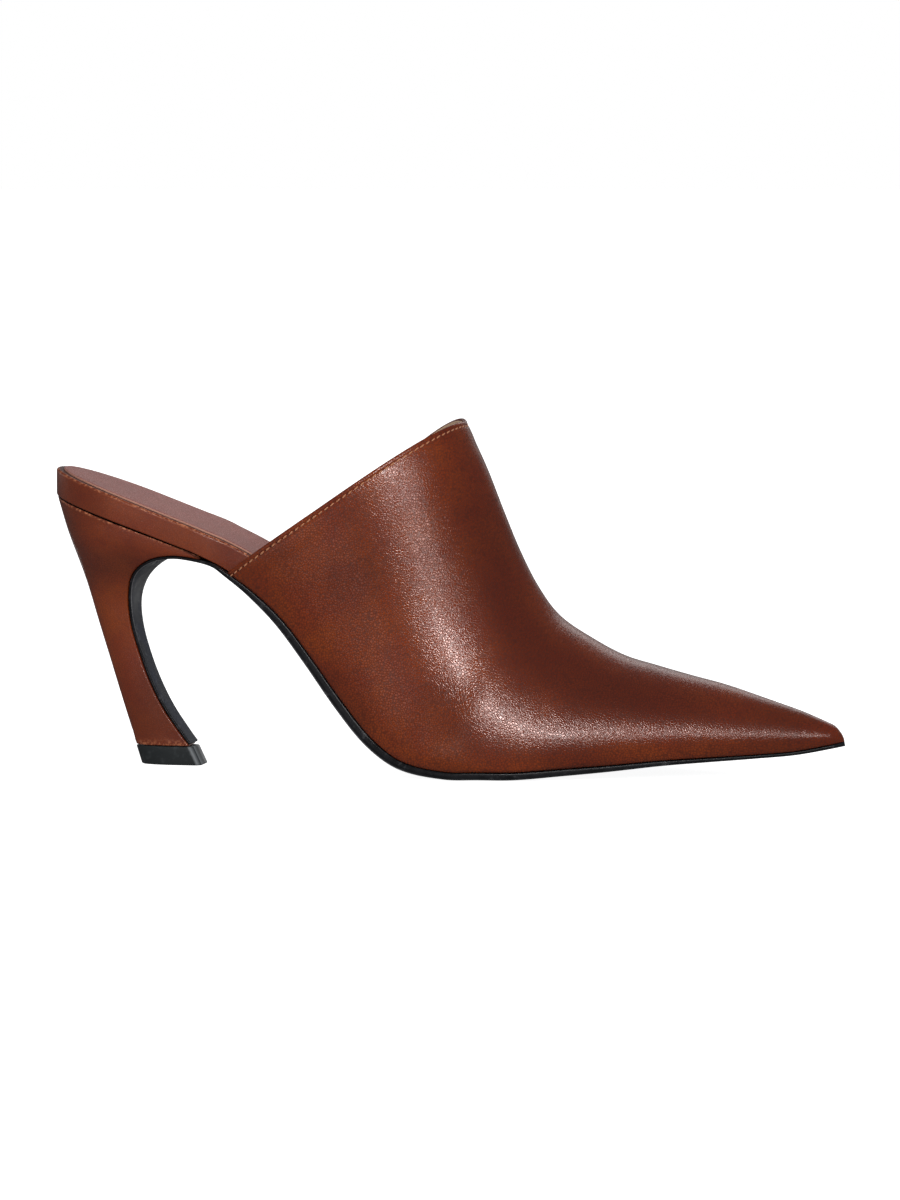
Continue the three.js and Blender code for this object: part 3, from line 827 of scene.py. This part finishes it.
row_tree = stitch_tree()
thread = Finish("tan thread", Specular_IOR_Level=0.4, Sheen_Weight=0.3)
strands = thread.cloud(0.16, detail=2.0)
thread.finish(
    thread.blend(thread.span(strands, 0.35, 0.65), srgb(162, 96, 60), srgb(216, 152, 110)),
    thread.span(strands, 0.3, 0.7, 0.5, 0.7),
    thread.relief(strands, 0.05),
)
# The needle holes are drawn as small dark dots of painted shade.
needle_hole_shade = Finish("painted needle-hole shade", Specular_IOR_Level=0.1)
hole_shade_mottle = needle_hole_shade.cloud(0.2)
needle_hole_shade.finish(
    needle_hole_shade.blend(hole_shade_mottle, srgb(36, 14, 9), srgb(58, 25, 16)),
    needle_hole_shade.span(hole_shade_mottle, 0.3, 0.7, 0.8, 0.95),
    needle_hole_shade.relief(hole_shade_mottle, 0.02),
)
stitch_place, stitch_normal = on_skin(np.full((1, skin.shape[1]), STITCH_LINE))
stitch_place, stitch_normal = stitch_place[0], stitch_normal[0]
on_leather = stitch_place - 0.13 * stitch_normal
stitch_sizes = dict(Pitch=STITCH_PITCH, Length=STITCH_LENGTH, Width=THREAD_WIDTH, Height=0.30, Shift=0.0)
hole_sizes = dict(Pitch=STITCH_PITCH, Length=0.42, Width=0.5, Height=0.16, Shift=STITCH_PITCH / 2)
stitch_row(
    "topline_stitches", on_leather + 0.06 * stitch_normal, stitch_normal, thread.material,
    STITCH_SLANT, **stitch_sizes,
)
stitch_row("topline_needle_hole_shades", on_leather, stitch_normal, needle_hole_shade.material, 0.0, **hole_sizes)
on_lining = stitch_place - 1.82 * stitch_normal
stitch_row(
    "lining_stitches", on_lining[::-1], -stitch_normal[::-1], thread.material,
    STITCH_SLANT, **stitch_sizes,
)

# ---- Outsole -----------------------------------------------------------------------------------
# One long black leather sole. It is cemented under the upper from the tip through the waist, and
# carried on down the flat front of the heel as a thin flap. Its edges are trimmed, inked black
# and burnished, and its lower corner is a bevel painted grey as a reflection of the floor.
FLAP_THICKNESS = 1.0
SOLE_EDGE_THINNING = 0.16
SOLE_THINS_FROM = 0.6
# How far the sole rises off its fitting gap away from its edges, to bear on the board it is
# cemented to, so that no light passes between them.
SOLE_BEARING = 0.22
SOLE_BEARS_WITHIN = (0.7, 0.94)
FLAP_END_GAP = 0.4
flap_rows = [[r[2], r[3], r[4], r[4], FLAP_THICKNESS] for r in heel_rows.values[:1:-1]]
waist_rows = [[r[0], r[1], r[2], r[3], r[4]] for r in bed_rows.values[4:]]
sole_points = np.array(flap_rows + waist_rows)
sole_run = np.concatenate([[0.0], np.cumsum(np.hypot(*np.diff(sole_points[:, :2], axis=0).T))])
sole_at = smooth(SimpleNamespace(names="x z outer inner thick".split(), values=sole_points), sole_run)
sole_length = sole_run[-1]

# The cut edge, from the foot side to the ground side: way in from the edge in millimetres, and
# share of the thickness.
SOLE_EDGE = [
    (0.45, 0.0), (0.22, 0.03), (0.07, 0.11), (0.0, 0.24), (0.0, 0.5),
    (0.05, 0.66), (0.2, 0.82), (0.42, 0.93), (0.7, 0.985), (1.1, 1.0),
]
SOLE_ACROSS = [0.94, 0.85, 0.7, 0.5, 0.25, 0.0]


def sole_ring(run):
    """A slice across the sole at a distance from the end of its flap."""
    here = sole_at(run)
    before, after = sole_at(max(run - 0.2, 0.0)), sole_at(min(run + 0.2, sole_length))
    travel = np.array([after.x - before.x, after.z - before.z])
    travel /= np.linalg.norm(travel)
    taper = float(rounded_end(sole_length - run, TOE_RADIUS))
    edges = {}
    for sign, half in ((-1, here.outer * taper), (1, here.inner * taper)):
        squeeze = min(1.0, half / 3.0)
        cut = [(half - inset * squeeze, share) for inset, share in SOLE_EDGE]
        above = [(min(half * share, cut[0][0]), 0.0) for share in SOLE_ACROSS[::-1]]
        under = [(min(half * share, cut[-1][0]), 1.0) for share in SOLE_ACROSS]
        edges[sign] = above + cut + under
    outline = []
    for sign in (1, -1):
        line = edges[sign] if sign > 0 else edges[sign][::-1]
        half = (here.outer if sign < 0 else here.inner) * taper
        for y, share in line:
            outward = y / max(half, 1e-6)
            toward_edge = np.clip((outward - SOLE_THINS_FROM) / (1 - SOLE_THINS_FROM), 0, 1)
            thinned = toward_edge**2 * SOLE_EDGE_THINNING
            bearing = SOLE_BEARING * (1 - share) * (1 - smoothstep(outward, *SOLE_BEARS_WITHIN))
            depth = FIT_GAP - bearing + here.thick * share * (1 - thinned)
            outline.append((here.x + travel[1] * depth, sign * y, max(0.0, here.z - travel[0] * depth)))
    return outline


sole_places = np.concatenate([
    [FLAP_END_GAP],
    np.linspace(FLAP_END_GAP + 0.3, sole_length - TOE_RADIUS, 260),
    sole_length - TOE_RADIUS * (1 - np.sin(np.linspace(0, math.pi / 2, 14)[1:])),
])
sole_rings = np.array([sole_ring(run) for run in sole_places])
around = np.arange(sole_rings.shape[1])
around = np.minimum(around, around[::-1]) - len(SOLE_ACROSS)
# The step down the cut edge from which a point counts as the ground side.
GROUND_FROM = 8
on_ground = (around >= GROUND_FROM).astype(float)
lower_corner = bump_of(around, GROUND_FROM - 0.6, 1.6)
in_waist = smoothstep(sole_places, 30.0, 60.0) * (1 - smoothstep(sole_places, 170.0, 200.0))
# How much painted grey reflection the lower corner carries: most along the waist.
corner_painted_reflection = lower_corner[None, :] * (0.25 + 0.75 * in_waist)[:, None]
outsole = lofted("outsole_leather", sole_rings, on_ground=on_ground[None, :], rubbed=corner_painted_reflection)


def sole_finish(name, dark, light, shine, scuffed):
    """Inked sole leather: fine fibres, a wax shine, grey scuffs at random, and a painted grey reflection
    on the marked corner.
    """
    ink = Finish(name, Specular_IOR_Level=0.3)
    fibre = ink.cloud(0.35, detail=3.0)
    patch = ink.cloud(7.0, detail=4.0, roughness=0.6)
    colour = ink.blend(ink.span(patch, 0.35, 0.7), dark, light)
    rubbed = ink.span(ink.cloud(3.0, detail=5.0, roughness=0.65), 0.56, 0.68, 0.0, scuffed)
    colour = ink.blend(rubbed, colour, srgb(150, 150, 154))
    # Painted grey reflection of the floor on the marked lower corner, speckled by the fibres.
    corner = ink.sum(ink.span(fibre, 0.3, 0.6, 0.4, 0.9), ink.attribute("rubbed"), "MULTIPLY")
    colour = ink.blend(corner, colour, srgb(146, 146, 150))
    rough = ink.span(patch, 0.3, 0.7, shine - 0.06, shine + 0.08)
    normal = ink.relief(patch, 0.12, 0.4)
    return ink.finish(colour, rough, ink.relief(fibre, 0.02, 0.8, under=normal))


edge_ink = sole_finish("black edge ink", srgb(20, 20, 23), srgb(32, 32, 36), 0.33, 0.1)
ground_side = sole_finish("sole leather, ground side", srgb(28, 32, 44), srgb(46, 51, 67), 0.56, 0.2)
outsole.data.materials.append(edge_ink)
outsole.data.materials.append(ground_side)
ground_marks = outsole.data.attributes["on_ground"].data
for face in outsole.data.polygons:
    face.material_index = int(all(ground_marks[corner].value > 0.5 for corner in face.vertices))
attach(outsole, "root")
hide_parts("outsole")

# ---- Top piece ---------------------------------------------------------------------------------
# A hard black rubber lift pinned under the heel. Its sides are trimmed flush with the heel cover
# and lean on down to the floor, and its two front corners are cut off.
TOP_PIECE_HEIGHT = 6.0
TOP_PIECE_LEAN = 1.9
FRONT_LEAN = 1.5
tread = heel_at(HEEL_LAST)


def lift_ring(height, inset):
    """A level slice through the top piece, drawn in a little from its sides."""
    lean = TOP_PIECE_LEAN * (1 - height / TOP_PIECE_HEIGHT)
    row = SimpleNamespace(
        back_at=tread.back_at + lean,
        back_rise=height,
        front_at=tread.front_at + FIT_GAP + FLAP_THICKNESS + FRONT_LEAN * lean,
        front_rise=height,
        half=tread.half,
        round=tread.round,
    )
    return heel_slice(row, inset, corner=1.3, cut=True)


lift_levels = [(0.0, 1.2), (0.0, 0.5), (0.12, 0.2), (0.32, 0.05), (0.6, 0.0), (2.0, 0.0), (4.0, 0.0)]
lift_levels += [(TOP_PIECE_HEIGHT - 0.2, 0.0), (TOP_PIECE_HEIGHT - 0.06, 0.06), (TOP_PIECE_HEIGHT, 0.2)]
lift_levels += [(TOP_PIECE_HEIGHT, 1.2)]
lift_rings = np.array([lift_ring(*level) for level in lift_levels])
# A painted highlight along the edges of the two cut-off front corners.
cut_corner_highlight = np.zeros(lift_rings.shape[1])
cut_corner_highlight[[1, 3, -3, -1]] = 1.0
top_piece = lofted("heel_top_piece", lift_rings, rubbed=cut_corner_highlight[None, :])
rubber = Finish("black top piece rubber", Specular_IOR_Level=0.4)
grit = rubber.cloud(0.4, detail=3.0)
wear = rubber.span(rubber.cloud(2.5, detail=4.0), 0.5, 0.75)
rubber_colour = rubber.blend(wear, srgb(38, 42, 44), srgb(62, 66, 69))
# Painted highlight: the marked corner edges turn pale grey.
rubber_colour = rubber.blend(
    rubber.sum(rubber.attribute("rubbed"), 0.6, "MULTIPLY"), rubber_colour, srgb(150, 154, 158)
)
rubber.finish(
    rubber_colour,
    rubber.span(grit, 0.3, 0.7, 0.42, 0.6),
    rubber.relief(grit, 0.03, 0.8),
)
top_piece.data.materials.append(rubber.material)
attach(top_piece, "root")
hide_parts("top_piece")

# ---- Studio ------------------------------------------------------------------------------------
# The shoe stands on a plain pale floor in an even white room that is dimmer in reflections. A
# narrow leaning strip in front draws the long highlight, and a low one beside it lights the ball.
# Weak panels in front, beside the heel and behind it, and a glow from the table, lift the rest.
scene = bpy.context.scene
scene.view_settings.view_transform = "Standard"
FLOOR_RADIUS = 14.0
floor_mesh = bpy.data.meshes.new("floor")
floor_shape = bmesh.new()
bmesh.ops.create_circle(floor_shape, cap_ends=True, segments=96, radius=FLOOR_RADIUS)
floor_shape.to_mesh(floor_mesh)
floor_shape.free()
floor = bpy.data.objects.new("floor", floor_mesh)
scene.collection.objects.link(floor)
paper = Finish(
    "white paper", Specular_IOR_Level=0.0, Emission_Color=(1, 1, 1, 1), Emission_Strength=0.93,
)
paper_tone = paper.cloud(400.0)
paper.finish(
    paper.blend(paper_tone, (0.86, 0.86, 0.86, 1), (0.88, 0.88, 0.88, 1)),
    paper.span(paper_tone, 0.0, 1.0, 0.9, 1.0),
    paper.relief(paper.cloud(1.0), 0.01),
)
floor_mesh.materials.append(paper.material)
floor.visible_glossy = False
floor.visible_diffuse = False

world = bpy.data.worlds.new("studio")
world.use_nodes = True
scene.world = world
sky = world.node_tree
room = sky.nodes["Background"]
room.inputs["Color"].default_value = (1, 1, 1, 1)
room.inputs["Strength"].default_value = 0.40
dark_room = sky.nodes.new("ShaderNodeBackground")
dark_room.inputs["Color"].default_value = (1, 1, 1, 1)
dark_room.inputs["Strength"].default_value = 0.08
backdrop = sky.nodes.new("ShaderNodeBackground")
backdrop.inputs["Color"].default_value = (1, 1, 1, 1)
backdrop.inputs["Strength"].default_value = 1.0
ray = sky.nodes.new("ShaderNodeLightPath")
mirrored = sky.nodes.new("ShaderNodeMixShader")
sky.links.new(ray.outputs["Is Glossy Ray"], mirrored.inputs["Fac"])
sky.links.new(room.outputs["Background"], mirrored.inputs[1])
sky.links.new(dark_room.outputs["Background"], mirrored.inputs[2])
seen = sky.nodes.new("ShaderNodeMixShader")
sky.links.new(ray.outputs["Is Camera Ray"], seen.inputs["Fac"])
sky.links.new(mirrored.outputs["Shader"], seen.inputs[1])
sky.links.new(backdrop.outputs["Background"], seen.inputs[2])
sky.links.new(seen.outputs["Shader"], sky.nodes["World Output"].inputs["Surface"])


AIM = Vector((0.0006, 0.0005, 0.0542))


def panel(name, azimuth, elevation, distance, size, brightness, lean=0.0):
    """A soft light panel that faces the shoe and isn't seen itself: degrees and metres."""
    turn, rise = math.radians(azimuth), math.radians(elevation)
    way = Vector((math.sin(turn) * math.cos(rise), -math.cos(turn) * math.cos(rise), math.sin(rise)))
    light = bpy.data.lights.new(name, "AREA")
    light.shape = "RECTANGLE"
    light.size, light.size_y = size
    light.energy = brightness * math.pi * size[0] * size[1]
    made = bpy.data.objects.new(name, light)
    made.location = AIM + way * distance
    facing = way.to_track_quat("Z", "Y") @ Quaternion((0, 0, 1), math.radians(lean))
    made.rotation_euler = facing.to_euler()
    made.visible_camera = False
    scene.collection.objects.link(made)


panel("key", 14, 32, 1.3, (0.11, 0.64), 31.0, lean=49)
panel("key foot", 38, 16, 1.4, (0.46, 0.15), 8.5)
panel("fill", -22, 4, 1.6, (0.7, 0.3), 0.9)
panel("heel side", -115, 12, 1.8, (0.5, 0.5), 1.4)
panel("back top", 176, 28, 1.9, (1.1, 0.5), 1.3)
panel("back", 182, 10, 1.9, (2.0, 0.30), 0.4)
panel("table glow", 182, -9, 0.25, (0.5, 0.04), 1.2)

CAMERA_AZIMUTH = math.radians(10.6)
CAMERA_ELEVATION = math.radians(4.5)
CAMERA_DISTANCE = 2.0
FRAME_HEIGHT = 0.3828
camera_data = bpy.data.cameras.new("camera")
camera_data.sensor_width = 36.0
camera_data.lens = camera_data.sensor_width * CAMERA_DISTANCE / FRAME_HEIGHT
back = Vector((
    math.sin(CAMERA_AZIMUTH) * math.cos(CAMERA_ELEVATION),
    -math.cos(CAMERA_AZIMUTH) * math.cos(CAMERA_ELEVATION),
    math.sin(CAMERA_ELEVATION),
))
camera = bpy.data.objects.new("camera", camera_data)
camera.location = AIM + back * CAMERA_DISTANCE
camera.rotation_euler = back.to_track_quat("Z", "Y").to_euler()
scene.collection.objects.link(camera)
scene.camera = camera
